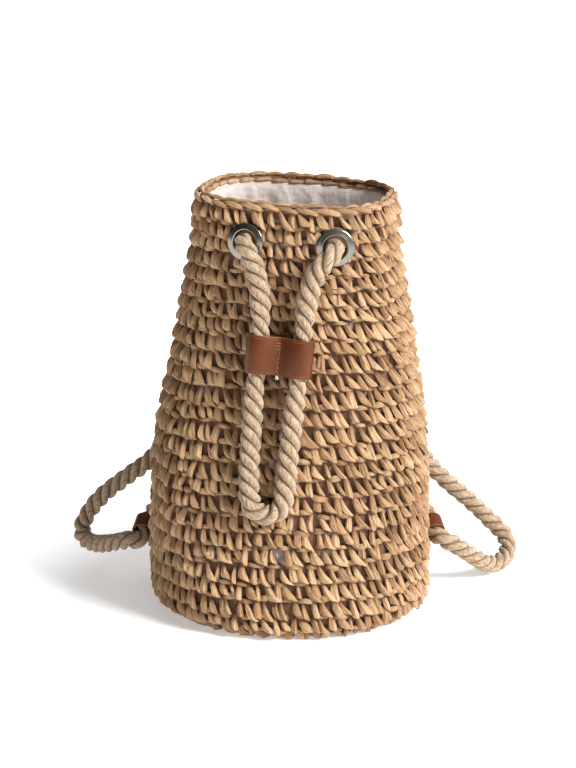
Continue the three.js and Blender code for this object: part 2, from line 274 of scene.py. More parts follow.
def blend_colour(add, kind, share, first, second):
    """Mixes two colours, each a socket or an (r, g, b)."""
    node = add("Mix", data_type="RGBA", blend_type=kind)
    tree = node.id_data
    for key, value in ((0, share), (6, first), (7, second)):
        if isinstance(value, bpy.types.NodeSocket):
            tree.links.new(value, node.inputs[key])
        else:
            node.inputs[key].default_value = value if key == 0 else (*value, 1)
    return node.outputs[2]


# %% Straw
STRAW_LIGHT = (0.645, 0.415, 0.23)
STRAW_MID = (0.515, 0.312, 0.160)
STRAW_DARK = (0.38, 0.21, 0.095)
# STRAW_TUCKED is painted shade, mixed in where strands tuck under their neighbours.
STRAW_TUCKED = (0.23, 0.118, 0.053)


def straw_finish():
    """Each strand has its own tan, darker streaks along it and brown shade where it tucks in."""
    material, add, feed = new_finish("straw", 0.62, Sheen_Weight=0.12, Sheen_Roughness=0.5,
                                     Specular_IOR_Level=0.35)
    strand = point_value(add, "strand", "Vector")
    broad = noise(add, object_place(add), 14.0, 2.0)
    half = maths(add, "MULTIPLY", maths(add, "ADD", point_value(add, "tone"), broad), 0.5)
    tan = ramp(add, half, [(0.25, STRAW_DARK), (0.5, STRAW_MID), (0.75, STRAW_LIGHT)])
    streaks = noise(add, stretched(add, strand, (1.0, 1.0, 0.12)), 1500.0, 3.0, 0.6)
    dark_streaks = ramp(add, streaks, [(0.36, (0.55, 0.5, 0.44)), (0.56, (1, 1, 1))])
    streaked = blend_colour(add, "MULTIPLY", 0.75, tan, dark_streaks)
    tuck = point_value(add, "tuck")
    feed("Base Color", blend_colour(add, "MIX", tuck, streaked, STRAW_TUCKED))
    creases = noise(add, stretched(add, strand, (1.0, 1.0, 0.1)), 650.0, 2.0, 0.5)
    crumple = noise(add, stretched(add, strand, (1.0, 1.0, 0.5)), 420.0, 2.0, 0.5)
    height = maths(add, "ADD", creases, maths(add, "MULTIPLY", streaks, 0.35))
    feed("Normal", relief(add, maths(add, "ADD", height, crumple), 1.0, 1.3 * MM))
    return material


straw = straw_finish()
print("straw has", len(straw.node_tree.nodes), "nodes")

# %% Backing behind the stitches
SHADE_BROWN = (0.165, 0.084, 0.043)
LINING_GLIMPSE = (0.42, 0.355, 0.345)


def backing_finish():
    """Deep between the stitches it is brown straw in painted shade, with a glimpse of lining at
    times.
    """
    material, add, feed = new_finish("shaded_straw", 0.9)
    place = object_place(add)
    spots = noise(add, place, 75.0, 1.0)
    colour = ramp(add, spots, [(0.0, SHADE_BROWN), (0.66, SHADE_BROWN), (0.71, LINING_GLIMPSE)])
    feed("Base Color", colour)
    strands = noise(add, stretched(add, place, (1, 1, 0.4)), 300.0, 2.0)
    feed("Normal", relief(add, strands, 1.0, 2 * MM))
    return material


shaded_straw = backing_finish()

# %% Rope, cotton, leather and metal
ROPE_CREAM = (0.60, 0.452, 0.305)
ROPE_TAN = (0.43, 0.30, 0.185)
ROPE_SHADE = (0.13, 0.07, 0.034)
COTTON_WHITE = (0.63, 0.572, 0.532)
COTTON_GREY = (0.56, 0.505, 0.465)
HEM_PINK = (0.45, 0.32, 0.29)
HEM_LINE_AT = 306.6 * MM
HEM_LINE_HALF = 0.45 * MM
LEATHER_TAN = (0.152, 0.0355, 0.0044)
LEATHER_DARK = (0.062, 0.0155, 0.003)
LEATHER_EDGE = (0.24, 0.08, 0.028)
NICKEL = (0.36, 0.33, 0.285)
NICKEL_DULL = (0.20, 0.18, 0.15)


def rope_finish():
    """Soft cotton yarns lie along the rope, and painted shade darkens the grooves between strands.
    """
    material, add, feed = new_finish("rope_cotton", 0.9, Sheen_Weight=0.25,
                                     Sheen_Roughness=0.6, Specular_IOR_Level=0.2)
    fibre = point_value(add, "strand", "Vector")
    yarns = noise(add, stretched(add, fibre, (1.0, 1.0, 0.12)), 800.0, 3.0, 0.6)
    patches = noise(add, stretched(add, fibre, (1.0, 1.0, 0.5)), 150.0, 2.0)
    lighter = ramp(add, yarns, [(0.38, (0.42, 0.345, 0.27)), (0.56, (1, 1, 1))])
    base = blend_colour(add, "MIX", patches, ROPE_CREAM, ROPE_TAN)
    body = blend_colour(add, "MULTIPLY", 0.8, base, lighter)
    feed("Base Color", blend_colour(add, "MIX", point_value(add, "tuck"), body, ROPE_SHADE))
    feed("Normal", relief(add, yarns, 1.0, 1.2 * MM))
    return material


def cotton_finish():
    """Plain woven cotton: two fine waves crossing at right angles, faint slubs, soft creases and
    a pink line along the hem. Its small glow stands for light that comes through thin cloth."""
    material, add, feed = new_finish("lining_cotton", 0.85, Sheen_Weight=0.2,
                                     Sheen_Roughness=0.5, Specular_IOR_Level=0.2,
                                     Emission_Color=(0.9, 0.8, 0.75, 1),
                                     Emission_Strength=0.085)
    cloth = add("UVMap", uv_map="cloth").outputs["UV"]
    warp, weft = (add("TexWave", {"Vector": cloth, "Scale": 700.0, "Distortion": 1.0,
                                  "Detail": 1.0}, bands_direction=way).outputs["Fac"]
                  for way in "XY")
    slubs = noise(add, stretched(add, cloth, (1.0, 0.15, 1.0)), 260.0, 2.0)
    tint = ramp(add, slubs, [(0.3, COTTON_GREY), (0.6, COTTON_WHITE)])
    down = add("SeparateXYZ", {"Vector": cloth}).outputs["Y"]
    hem = maths(add, "COMPARE", down, HEM_LINE_AT, HEM_LINE_HALF)
    share = maths(add, "MULTIPLY", hem, 0.45)
    feed("Base Color", blend_colour(add, "MIX", share, tint, HEM_PINK))
    creased = relief(add, noise(add, object_place(add), 75.0, 2.0), 0.7, 6 * MM)
    weave = maths(add, "MULTIPLY", warp, weft)
    feed("Normal", relief(add, weave, 0.5, 0.2 * MM, Normal=creased))
    return material


def leather_finish():
    """Waxed tan leather: fine pores, slow clouds of darker tan, and paler worn edges."""
    material, add, feed = new_finish("tan_leather", 0.45, Specular_IOR_Level=0.31)
    place = object_place(add)
    clouds = noise(add, place, 90.0, 4.0, 0.6)
    tan = blend_colour(add, "MIX", clouds, LEATHER_TAN, LEATHER_DARK)
    feed("Base Color", blend_colour(add, "MIX", point_value(add, "tuck"), tan, LEATHER_EDGE))
    feed("Roughness", between(add, clouds, 0.29, 0.4))
    pores = add("TexVoronoi", {"Vector": place, "Scale": 1400.0}).outputs["Distance"]
    height = maths(add, "ADD", pores, noise(add, place, 700.0, 3.0))
    feed("Normal", relief(add, height, 0.35, 0.3 * MM))
    return material


def nickel_finish():
    """Polished dark nickel with faint turning marks and a few dull smudges."""
    material, add, feed = new_finish("dark_nickel", 0.2, 1.0)
    place = object_place(add)
    smudges = noise(add, place, 120.0, 3.0)
    feed("Base Color", blend_colour(add, "MIX", smudges, NICKEL, NICKEL_DULL))
    feed("Roughness", between(add, smudges, 0.18, 0.3))
    feed("Normal", relief(add, noise(add, place, 900.0, 1.0), 0.03, 0.2 * MM))
    return material


def thread_finish(name, dark, light):
    """Sewing thread: two shades of its colour along its fibres."""
    material, add, feed = new_finish(name, 0.7)
    fibres = noise(add, object_place(add), 900.0)
    feed("Base Color", ramp(add, fibres, [(0.3, dark), (0.7, light)]))
    return material


rope_cotton = rope_finish()
lining_cotton = cotton_finish()
tan_leather = leather_finish()
dark_nickel = nickel_finish()
brown_thread = thread_finish("brown_thread", (0.21, 0.055, 0.018), (0.36, 0.115, 0.04))
ivory_thread = thread_finish("ivory_thread", (0.62, 0.58, 0.52), (0.8, 0.77, 0.72))
print("finishes:", [m.name for m in bpy.data.materials])

# %% [markdown]
# ## The rope
# One cotton rope of three strands is the drawstring and both straps. Its route is the measured
# model's own list of points. A rope could be three separate tubes, but a single tube whose
# section is the outline of three strands, turning as it goes, has no hidden faces and keeps deep
# grooves. This rope turns the way the middle of a letter S slants.

# %% Rope route
ROPE_DIAMETER = 13.4 * MM
ROPE_ROUTE = np.array([
    [-105.5, 50.5, 54.5], [-110, 40.3, 49.4], [-113.8, 25.2, 40.4], [-117, 20, 38.2],
    [-124, 20, 38], [-134, 27, 34], [-147, 43, 27], [-158, 60, 22.5], [-165, 71, 23.5],
    [-166.5, 77, 30], [-162, 80, 40], [-149, 80, 56], [-127, 79, 73.5], [-111, 78, 86],
    [-84, 80, 123], [-53, 80, 208], [-44.5, 78, 246], [-41.3, 75.5, 272.3],
    [-39.8, 74.2, 276.1], [-38.2, 71.2, 278.7], [-36.8, 67.3, 279.4], [-35, 60.6, 278.8],
    [-32.7, 52.1, 278.1], [-34.5, 36, 276.5], [-37, 12, 275.5], [-32, -10, 277.5],
    [-26.6, -27, 282], [-26.5, -38.2, 283.8], [-29.5, -46, 284.4], [-32.2, -52.9, 285],
    [-33, -56.9, 284.6], [-32, -60.6, 282.8], [-29.5, -62.9, 280], [-26, -64.3, 272],
    [-22, -66.8, 257], [-20.2, -69.9, 234], [-20.6, -71.3, 223.4], [-23.7, -74.8, 193.8],
    [-26.3, -79, 166], [-29, -89, 117], [-28.5, -91.6, 107.5], [-26.2, -92.6, 100.3],
    [-20.1, -93.5, 95.8], [-12.5, -93.9, 95.8], [-6.4, -93.4, 100.3], [-4, -92.4, 107.5],
    [-2.6, -90, 119], [3, -83, 168], [6.3, -80.4, 191.3], [9.4, -76.9, 220.9],
    [10.8, -75.6, 233], [14.5, -74.5, 255], [21, -75, 270], [27.8, -76.3, 277.6],
    [30.3, -75, 280.8], [32, -71.8, 283], [32.5, -67.5, 283.5], [32.1, -61, 283.1],
    [31.5, -52, 282.6], [32.5, -37, 281], [36, -16, 277], [36.5, 6, 275], [33, 26, 275.8],
    [31.5, 40.9, 276.8], [34.5, 49.1, 277.5], [36.9, 55.6, 278.1], [38.6, 59.3, 277.4],
    [40.4, 62.1, 274.8], [42, 63.3, 270.8], [44.5, 65.5, 250], [54, 70, 207], [84, 76, 126],
    [110.5, 76, 84], [149, 80, 47], [161, 80, 35], [170.5, 78, 25.5], [175, 72, 18],
    [173, 64, 10.5], [166.5, 54, 8.3], [156.5, 43, 10], [147, 32, 18.5], [127, 20.5, 35],
    [119, 20, 39], [113.8, 25.2, 40.4], [110, 40.3, 49.4], [105.5, 50.5, 54.5],
]) * MM


def smooth_route(points, per_span=14):
    """Centripetal Catmull-Rom curve: each span is a cubic whose end slopes come from the two
    neighbouring points, weighted by the square root of the distances between them."""
    padded = np.concatenate([[2 * points[0] - points[1]], points, [2 * points[-1] - points[-2]]])
    p0, p1, p2, p3 = padded[:-3], padded[1:-2], padded[2:-1], padded[3:]
    d0, d1, d2 = (np.linalg.norm(b - a, axis=1, keepdims=True) ** 0.5
                  for a, b in ((p0, p1), (p1, p2), (p2, p3)))
    slope1 = ((p1 - p0) / d0 - (p2 - p0) / (d0 + d1) + (p2 - p1) / d1) * d1
    slope2 = ((p2 - p1) / d1 - (p3 - p1) / (d1 + d2) + (p3 - p2) / d2) * d1
    u = (np.arange(per_span) / per_span)[None, :, None]
    at1, rise1, at2, rise2 = cubic_weights(u)
    cubic = (at1 * p1[:, None] + rise1 * slope1[:, None]
             + at2 * p2[:, None] + rise2 * slope2[:, None])
    return np.concatenate([cubic.reshape(-1, 3), points[-1:]])


def evenly(points, count):
    """The same line with that many points an equal length apart, and the length to each."""
    run = length_run(points)
    wanted = np.linspace(0, run[-1], count)
    return np.stack([np.interp(wanted, run, axis) for axis in points.T], -1), wanted


def carried_frames(line):
    """Two directions square to the line at each point. The side is carried from point to point
    and made square to the line again, so it never spins on its own."""
    along = unit(np.gradient(line, axis=0))
    side = np.empty_like(line)
    carried = np.cross(along[0], [0.0, 0.0, 1.0])
    for i, direction in enumerate(along):
        carried = unit(carried - direction * (carried @ direction))
        side[i] = carried
    return side, np.cross(along, side)


ROPE_STEP = 1.25 * MM
rope_curve = smooth_route(ROPE_ROUTE)
rope_line, rope_run = evenly(rope_curve, int(round(length_run(rope_curve)[-1] / ROPE_STEP)) + 1)
rope_side, rope_other = carried_frames(rope_line)
ROPE_LENGTH = float(rope_run[-1])
print(f"rope: {ROPE_LENGTH:.3f} m along its middle")

# %% Rope surface
ROPE_SIDES = 36
ROPE_LAY = 30 * MM
STRAND_RADIUS = 0.322 * ROPE_DIAMETER
STRAND_OFFSET = 0.258 * ROPE_DIAMETER
ROPE_SOFT_SPOTS = 160
END_ROUNDING = 3.5 * MM
END_SCALE = 0.55
HELD_LENGTH = 9 * MM
STRAP_THINNER = 0.08
GROOVE_FROM, GROOVE_DEEP = 0.84, 0.95
SQUEEZED = 0.86
SQUEEZED_AT = np.array([
    [-23.7, -74.8, 193.8], [-22.2, -73, 208], [-20.6, -71.3, 223.4], [6.3, -80.4, 191.3],
    [7.8, -78.6, 206], [9.4, -76.9, 220.9], [-31.2, -50.4, 284.8], [-28.5, -43.5, 284],
    [32.3, -65, 283.4], [31.7, -55, 282.9], [-36, 64.6, 279.2], [-33.8, 56, 278.5],
    [36, 53, 277.9], [33, 45, 277], [-112.1, 32.6, 45], [112, 32.6, 45],
]) * MM


def three_strand_radius(turn):
    """Distance from the rope's middle to the outline of three round strands: a third of a turn
    holds one strand, and its far side is o cos t + sqrt(r^2 - o^2 sin^2 t)."""
    t = (turn + TAU / 6) % (TAU / 3) - TAU / 6
    return STRAND_OFFSET * np.cos(t) + np.sqrt(STRAND_RADIUS**2 - (STRAND_OFFSET * np.sin(t)) ** 2)


turn = full_turn(ROPE_SIDES)
lay_angle = -TAU * rope_run / ROPE_LAY
rng = np.random.default_rng(11)
softness = np.interp(rope_run, np.linspace(0, ROPE_LENGTH, ROPE_SOFT_SPOTS),
                     rng.uniform(0.965, 1.03, ROPE_SOFT_SPOTS))
end_round = np.clip(np.minimum(rope_run, ROPE_LENGTH - rope_run) / END_ROUNDING, 0, 1)
end_scale = END_SCALE + (1 - END_SCALE) * np.sqrt(1 - (1 - end_round) ** 2)
held_near = np.linalg.norm(rope_line[:, None] - SQUEEZED_AT, axis=2).min(1)
free = np.clip((held_near - HELD_LENGTH) / HELD_LENGTH, 0, 1)
squeeze = SQUEEZED + (1 - SQUEEZED) * free * free * (3 - 2 * free)
strap = np.clip((rope_line[:, 1] + 20 * MM) / (30 * MM), 0, 1)
squeeze = np.minimum(squeeze, 1 - STRAP_THINNER * strap)
radius = three_strand_radius(turn)[None, :] * (softness * end_scale * squeeze)[:, None]
facing = turn[None, :] + lay_angle[:, None]
rope_rings = (rope_line[:, None] + radius[..., None]
              * (np.cos(facing)[..., None] * rope_side[:, None]
                 + np.sin(facing)[..., None] * rope_other[:, None]))[None]
rope_points, rope_faces = many_strands(rope_rings)
rope_local = np.stack([radius * np.cos(facing), radius * np.sin(facing),
                       np.broadcast_to(rope_run[:, None], radius.shape)], -1)[None]
# Painted shade: points in the grooves between strands get a share of ROPE_SHADE, at most
# GROOVE_DEEP.
whole = three_strand_radius(turn)[None, :] / (STRAND_RADIUS + STRAND_OFFSET)
deep = np.clip((GROOVE_FROM - whole) / (1 - GROOVE_FROM), 0, 1) ** 1.6
groove_shade = np.broadcast_to(deep * GROOVE_DEEP, radius.shape)
rope_groove_shade = with_middles(groove_shade[None, ..., None]).reshape(-1)
rope = make_piece("twisted_rope", rope_points, rope_faces, rope_cotton,
                  {"strand": with_middles(rope_local).reshape(-1, 3), "tuck": rope_groove_shade})
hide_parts("rope")

# %% [markdown]
# ## The bag's shape
# The bag is a leaning, slightly twisted bucket. Its outline at any height is a squarish oval
# whose sizes are read from a short table, the same one the measured model has. Below the wall
# the same surface goes on round the base's edge and in to the middle, so that one pair of
# coordinates, down the wall and round it, reaches every stitch. In two places this skin leaves
# the measured model to follow the photograph: the upper left side is drawn in a little, and low
# down the front leans to the right.

# %% Shape of the bag
BODY_HEIGHT = 310 * MM
BODY_WIDTH = 211 * MM
BODY_DEPTH = 196 * MM
BASE_CORNER = 17 * MM
LEFT_DRAWN_IN = 2.6 * MM
DRAWN_IN_FROM, DRAWN_IN_FULLY = 0.44, 0.58
BASE_SKEW = 0.05
SKEW_HEIGHT = 70 * MM
WALL = 7 * MM
OUTLINE = {
    "height": [0, 0.08, 0.19, 0.32, 0.45, 0.58, 0.71, 0.84, 0.93, 1],
    "width": [1, 1, 1, 0.99, 0.962, 0.905, 0.83, 0.76, 0.724, 0.712],
    "front": [1.05, 1.01, 0.95, 0.875, 0.8, 0.725, 0.665, 0.62, 0.6, 0.592],
    "back": [1.04, 1.012, 0.955, 0.9, 0.84, 0.765, 0.695, 0.635, 0.61, 0.602],
    "square": [2.1, 2.3, 2.4, 2.5, 2.5, 2.6, 2.7, 2.8, 2.8, 2.8],
    "turn": [0, 0, 0, 0, -3, -7, -12, -16, -18, -18],
    "shift": [0, 0, 0, 0.002, 0.004, 0.008, 0.012, 0.015, 0.017, 0.017],
    "roll": [0, 0, 0, 0, 0, 0, -0.005, -0.01, -0.015, -0.015],
    "lift": [0, 0, 0, 0, 0, 0, 0, 0.015, 0.035, 0.05],
}
CORNER_LENGTH = BASE_CORNER * math.pi / 2
BASE_RADIUS = BODY_WIDTH / 2 - BASE_CORNER


def outline_value(name, height):
    """A cubic through the table's entries, each with the slope between its two neighbours."""
    x, v = np.array(OUTLINE["height"]), np.array(OUTLINE[name], float)
    entry = np.arange(len(x))
    before, after = np.maximum(entry - 1, 0), np.minimum(entry + 1, len(x) - 1)
    slope = (v[after] - v[before]) / (x[after] - x[before])
    share = np.clip(height / BODY_HEIGHT, 0, 1)
    k = np.clip(np.searchsorted(x, share, side="right") - 1, 0, len(x) - 2)
    span = x[k + 1] - x[k]
    u = (share - x[k]) / span
    at1, rise1, at2, rise2 = cubic_weights(u)
    return (at1 * v[k] + rise1 * span * slope[k]
            + at2 * v[k + 1] + rise2 * span * slope[k + 1])


def outline_point(height, angle, drawn):
    """The squarish oval at a height: 1 / radius = (|cos a / w|^n + |sin a / d|^n)^(1 / n), with
    its half width w and half depth d drawn in, then turned, shifted and tilted. Higher up the
    left side moves in by LEFT_DRAWN_IN times the cube of how far left it is, and low down x
    grows by BASE_SKEW of the way to the front."""
    w = outline_value("width", height) * BODY_WIDTH / 2 - drawn
    front, back = outline_value("front", height), outline_value("back", height)
    d = np.where(np.sin(angle) < 0, front, back) * BODY_DEPTH / 2 - drawn
    n = outline_value("square", height)
    reach = (np.abs(np.cos(angle) / w) ** n + np.abs(np.sin(angle) / d) ** n) ** (-1 / n)
    around = angle + np.radians(outline_value("turn", height))
    x = outline_value("shift", height) * BODY_WIDTH + reach * np.cos(around)
    upper_part = np.clip((height / BODY_HEIGHT - DRAWN_IN_FROM)
                         / (DRAWN_IN_FULLY - DRAWN_IN_FROM), 0, 1)
    x = x + LEFT_DRAWN_IN * upper_part * np.clip(-np.cos(around), 0, 1) ** 3
    y = reach * np.sin(around)
    x = x - BASE_SKEW * y * np.clip(1 - height / SKEW_HEIGHT, 0, 1)
    z = height + outline_value("roll", height) * x + outline_value("lift", height) * y
    return np.stack(np.broadcast_arrays(x, y, z), -1)


def skin(down, angle):
    """Point of the bag's outside. Down is the height on the wall. Below BASE_CORNER it goes on as
    the length round the base's edge, a quarter circle, and then along the flat base inwards."""
    down, angle = np.broadcast_arrays(np.asarray(down, float), np.asarray(angle, float))
    bend = np.clip((BASE_CORNER - down) / BASE_CORNER, 0, math.pi / 2)
    height = np.where(down > BASE_CORNER, down, BASE_CORNER * (1 - np.sin(bend)))
    points = outline_point(height, angle, BASE_CORNER * (1 - np.cos(bend)))
    inwards = np.clip(BASE_CORNER - CORNER_LENGTH - down, 0, BASE_RADIUS * 0.995)
    share = 1 - inwards / BASE_RADIUS
    return points * np.stack([share, share, np.ones_like(share)], -1)


def layer_places(top, wall_steps, base_steps, base_share):
    """Places down a layer: the wall from its top, the base's edge, and the base inwards."""
    wall_end, edge_end = BASE_CORNER, BASE_CORNER - CORNER_LENGTH
    return np.concatenate([
        np.linspace(top, wall_end, wall_steps), np.linspace(wall_end, edge_end, base_steps)[1:],
        np.linspace(edge_end, edge_end - BASE_RADIUS * base_share, base_steps)[1:]])


def outward(down, angle):
    """Square to the skin: the cross product of its slopes round and up the bag, made 1 long. The
    tiny number keeps the middle of the base, where both slopes vanish, from dividing by zero."""
    around = skin(down, angle + 0.004) - skin(down, angle - 0.004)
    up = skin(down + 0.4 * MM, angle) - skin(down - 0.4 * MM, angle)
    normal = np.cross(around, up)
    return normal / (np.linalg.norm(normal, axis=-1, keepdims=True) + 1e-15)


def round_table(down):
    """Angles all round the bag at one place down it, and the length run to reach each."""
    angles = np.linspace(-math.pi, math.pi, 721)
    loop = skin(down, angles)
    return angles, length_run(loop)


print("round the base", round(round_table(30 * MM)[1][-1], 3), "m, round the mouth",
      round(round_table(BODY_HEIGHT)[1][-1], 3), "m")

# %% [markdown]
# ## The crochet
# Each single stitch shows two legs of folded straw that meet low down, like a V whose left leg
# slants and whose right leg is nearly upright, and a short loop between it and the next stitch.
# The upper ends tuck in under the row above and the lower ends stand proud like roof tiles. A
# bump map would look flat at the bag's edge, so every leg is its own closed strand. They are
# worked out row by row: a leg's middle line on the skin, a ribbon section with folds in it, and
# a little seeded disorder in all of it.

# %% Rows
STITCH = 14.2 * MM
PITCH_AT = np.array([0, 0.2, 0.38, 0.52, 0.62, 0.74, 0.85, 1.0]) * BODY_HEIGHT
PITCH = np.array([12.8, 12.5, 12.2, 13.0, 12.6, 11.7, 11.5, 11.2]) * MM


def row_edges():
    """Places of the rows' edges down the bag. The pitch is read from a table by height, and the
    last row, of whatever is left, closes the middle of the base."""
    base_middle = BASE_CORNER - CORNER_LENGTH - BASE_RADIUS
    edges = [BODY_HEIGHT]
    while True:
        lower = edges[-1] - float(np.interp(edges[-1], PITCH_AT, PITCH))
        if lower < base_middle + 4 * MM:
            return edges + [base_middle + 3 * MM]
        edges.append(lower)


edges = row_edges()
print(len(edges) - 1, "rows, of which on the wall", sum(e > BASE_CORNER for e in edges))

# %% Eyelets, where the stitches make room
EYELET_SEATS = {
    "eyelet_front_left": ([-31.17, -50.35, 284.78], [-0.356, -0.931, 0.076]),
    "eyelet_front_right": ([32.33, -64.92, 283.36], [0.061, -0.997, 0.054]),
    "eyelet_back_left": ([-36.08, 64.64, 279.18], [-0.256, 0.963, 0.083]),
    "eyelet_back_right": ([35.93, 53.09, 277.93], [0.338, 0.937, 0.088]),
}
EYELET_BARREL = 8.55 * MM
EYELET_FLANGE = 13.5 * MM
ROOM_DEPTH = 16 * MM
ROOM_REACH = 11 * MM
ROOM_SPREAD = 2.2 * MM


def make_room(points):
    """Pushes straw out of each eyelet's barrel and down under its flange. What lies nearer to
    the axis than ROOM_REACH is squeezed into a band ROOM_SPREAD wide just outside the barrel."""
    for middle, axis in EYELET_SEATS.values():
        axis = unit(np.array(axis))
        away = points - np.array(middle) * MM
        above = away @ axis
        flat = away - above[..., None] * axis
        reach = np.linalg.norm(flat, axis=-1) + 1e-9
        near = np.abs(above) < ROOM_DEPTH
        pushed = EYELET_BARREL + 0.5 * MM + reach * (ROOM_SPREAD / ROOM_REACH)
        new_reach = np.where(near & (reach < ROOM_REACH), pushed, reach)
        new_above = np.where(near & (new_reach < EYELET_FLANGE + 1.5 * MM),
                             np.minimum(above, -0.2 * MM), above)
        points = points + (new_reach / reach - 1)[..., None] * flat
        points = points + (new_above - above)[..., None] * axis
    return points


# %% Legs and loops
# The numbers of a stitch are in millimetres for one that is DRAWN_STITCH wide and high. For each
# leg they are the place of its upper end, how far it runs sideways, its bow, its slant, its half
# width and how that changes along it.
DRAWN_STITCH = 14.4 * MM
LEG_STATIONS = np.array([0, 0.1, 0.25, 0.42, 0.6, 0.78, 0.93, 1.0])
LEG_DEPTH = np.array([-6.5, -5.6, -4.3, -3.1, -2.1, -1.4, -1.4, -2.6]) * MM
LEG_THICK = np.array([0.6, 0.75, 0.9, 1.0, 1.08, 1.08, 0.85, 0.4])
LEFT_WIDTH = np.array([0.40, 0.47, 0.57, 0.70, 0.85, 1.0, 0.98, 0.62])
RIGHT_WIDTH = np.array([0.60, 0.68, 0.78, 0.90, 1.0, 1.03, 0.92, 0.55])
# LEG_TUCK is painted shade along a leg: how much of STRAW_TUCKED each station gets.
LEG_TUCK = np.interp(LEG_STATIONS, [0, 0.25, 0.5, 0.93, 1], [0.95, 0.5, 0.1, 0.0, 0.5])
LEG_HALF_THICK = 2.3 * MM
LEGS = ((0.0, 6.2, -1.1, 0.8, 3.3, LEFT_WIDTH), (9.4, 1.2, -0.6, 0.4, 2.8, RIGHT_WIDTH))
TOP_ROW_TUCK = 0.62
LOOP_START, LOOP_RUN = -5.6, 11.2
LOOP_HALF_WIDTH = 2.0 * MM
LOOP_THICKNESS = 0.62
LOOP_STATIONS = np.linspace(0, 1, 5)
LOOP_DEPTH = np.array([-5.0, -3.0, -2.2, -3.0, -5.0]) * MM
LOOP_WIDTH = np.array([0.6, 0.95, 1.0, 0.95, 0.6])
# LOOP_TUCK is painted shade along a loop, darkest at its tucked ends.
LOOP_TUCK = np.array([0.9, 0.35, 0.15, 0.35, 0.9])
SECTION_ACROSS = np.array([-1.0, -0.74, -0.26, 0.26, 0.74, 1.0, 0.5, -0.5])
SECTION_HIGH = np.array([-0.15, 0.56, 0.97, 0.97, 0.56, -0.15, -0.85, -0.85])


def strands_on_skin(table, v, start, end, bow, slant, depth, half_width, half_thick, sections):
    """Ribbons on the skin. Start and end are (n, 2) as length round and place down, and bow moves
    each middle line sideways. The section, across and high, is laid square to that line, and
    slant lets the right edge run on further than the left one towards the end."""
    angles, run = table
    middle = start[:, None] + (end - start)[:, None] * v[None, :, None]
    heading = unit(end - start)
    across = np.stack([-heading[:, 1], heading[:, 0]], -1)
    middle = middle + across[:, None] * (bow[:, None] * np.sin(math.pi * v))[..., None]
    wide = sections[..., 0] * half_width[..., None]
    high = sections[..., 1] * half_thick[..., None]
    further = slant[:, None, None] * (v**2)[None, :, None] * wide
    place = (middle[:, :, None] + across[:, None, None] * wide[..., None]
             + heading[:, None, None] * further[..., None])
    angle = np.interp(place[..., 0] % run[-1], run, angles)
    down = place[..., 1]
    points = skin(down, angle) + outward(down, angle) * (depth[..., None] + high)[..., None]
    along = (v * np.linalg.norm(end - start, axis=1)[:, None])[..., None]
    return points, np.stack([wide, high, np.broadcast_to(along, wide.shape)], -1)


def stitch_row(upper, lower, tuck_share, rng):
    """One round of stitches between two places down the bag, as (points, local, tone, tuck) for
    its legs and for its loops. Tuck_share says how much of its depth each leg keeps, and wander
    lets the whole row rise and fall a little every few stitches."""
    table = round_table((upper + lower) / 2)
    count = max(3, int(round(table[1][-1] / STITCH)))
    width = table[1][-1] / count
    wide, tall = width / DRAWN_STITCH * MM, (upper - lower) / DRAWN_STITCH * MM
    at = (np.arange(count) + rng.uniform(0, 1)) * width
    knots = np.arange(0, count + 4, 4)
    wander = np.interp(np.arange(count), knots, rng.normal(0, 0.8, len(knots))) * MM
    if upper > BODY_HEIGHT - 1 * MM:
        tuck_share = TOP_ROW_TUCK
    sides = len(SECTION_ACROSS)

    def vary(spread, middle=0.0):
        """One random value for each stitch, at most 2.2 spreads from the middle."""
        return middle + rng.normal(0, spread, count).clip(-2.2 * spread, 2.2 * spread)

    results = []
    for top_x, run_x, bow_x, slant_x, broad, profile in LEGS:
        start = np.stack([at + (top_x + vary(0.6)) * wide,
                          upper + (0.6 + vary(0.6)) * tall + wander], -1)
        end = np.stack([start[:, 0] + (run_x + vary(1.9)) * wide,
                        lower - (0.5 + vary(1.35)) * tall + wander], -1)
        depth = LEG_DEPTH * tuck_share
        depth = depth + (vary(0.55)[:, None] + vary(0.9)[:, None] * (LEG_STATIONS - 0.5)) * MM
        profile = profile ** vary(0.25, 1.0).clip(0.5, 1.6)[:, None]
        half_width = (broad * wide * vary(0.19, 0.97))[:, None] * profile
        half_thick = LEG_HALF_THICK * LEG_THICK * vary(0.14, 1.0)[:, None]
        folds = (rng.uniform(-0.42, 0.1, (count, 1, sides))
                 + rng.uniform(-0.08, 0.08, (count, len(LEG_STATIONS), sides)))
        slide = rng.uniform(-0.1, 0.1, (count, 1, sides))
        sections = np.stack([np.broadcast_to(SECTION_ACROSS + slide, folds.shape),
                             SECTION_HIGH + folds * (SECTION_HIGH > 0)], -1)
        made = strands_on_skin(table, LEG_STATIONS, start, end, vary(0.5, bow_x) * MM,
                               vary(0.15, slant_x), depth, half_width, half_thick, sections)
        results.append((*made, rng.uniform(0, 1, count), LEG_TUCK))
    start = np.stack([at + (LOOP_START + vary(0.6)) * wide,
                      lower + (-0.6 + vary(0.8)) * tall + wander], -1)
    end = np.stack([start[:, 0] + (LOOP_RUN + vary(1.0)) * wide,
                    start[:, 1] - vary(1.2) * MM], -1)
    depth = LOOP_DEPTH + vary(0.6)[:, None] * MM
    half_width = LOOP_HALF_WIDTH * LOOP_WIDTH * vary(0.15, 1.0)[:, None]
    sections = np.stack(np.broadcast_arrays(
        SECTION_ACROSS, SECTION_HIGH + np.zeros((count, len(LOOP_STATIONS), sides))), -1)
    made = strands_on_skin(table, LOOP_STATIONS, start, end, vary(0.5, 0.6) * MM, vary(0.1),
                           depth, half_width, LOOP_THICKNESS * half_width, sections)
    results.append((*made, rng.uniform(0, 0.8, count), LOOP_TUCK))
    return results


